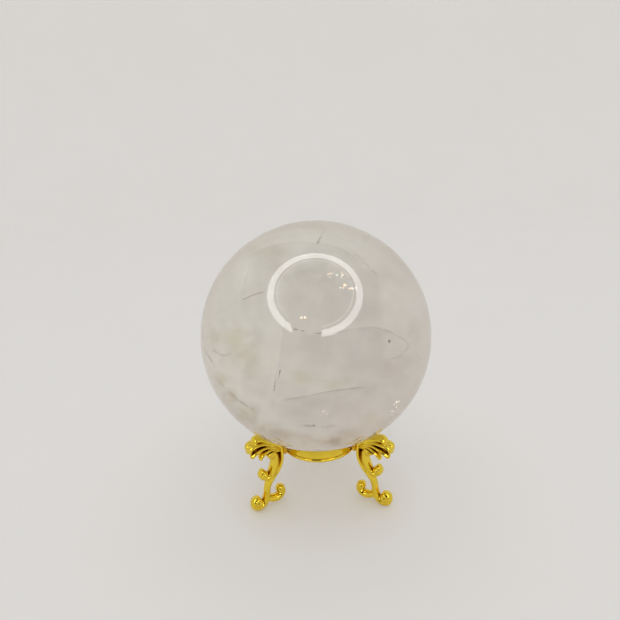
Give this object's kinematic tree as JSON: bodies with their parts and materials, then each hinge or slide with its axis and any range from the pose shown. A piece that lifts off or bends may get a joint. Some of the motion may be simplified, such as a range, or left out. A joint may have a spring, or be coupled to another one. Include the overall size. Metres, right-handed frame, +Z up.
{
  "type": "crystal ball on stand",
  "caption": "Cloudy natural quartz sphere lying loose in a turned ring on cast scroll legs with leaf tops, polished and gilt.",
  "frame": {"origin": "middle of the object on the surface it stands on, below the centre of the ball", "axes": "+Z up through the ball and the ring; -Y is the front, between the left and right legs; the back leg points along +Y"},
  "size_m": [0.08, 0.08, 0.1025],
  "materials": {
    "quartz": "polished, milky inside with veils and fractures",
    "gilt_metal": "bright gold plating over cast metal",
    "gilt_solder": "plated solder, less bright than the castings"
  },
  "bodies": {
    "stand": {"stand_ring": "gilt_metal", "leg_left": "gilt_metal", "leg_right": "gilt_metal", "leg_back": "gilt_metal", "solder_left": "gilt_solder", "solder_right": "gilt_solder", "solder_back": "gilt_solder"},
    "ball": {"crystal_ball": "quartz"}
  },
  "joints": [
    {"name": "ball_lift", "type": "slide", "parent": "stand", "child": "ball", "axis": [0, 0, 1], "range_m": [0, 0.05]}
  ]
}
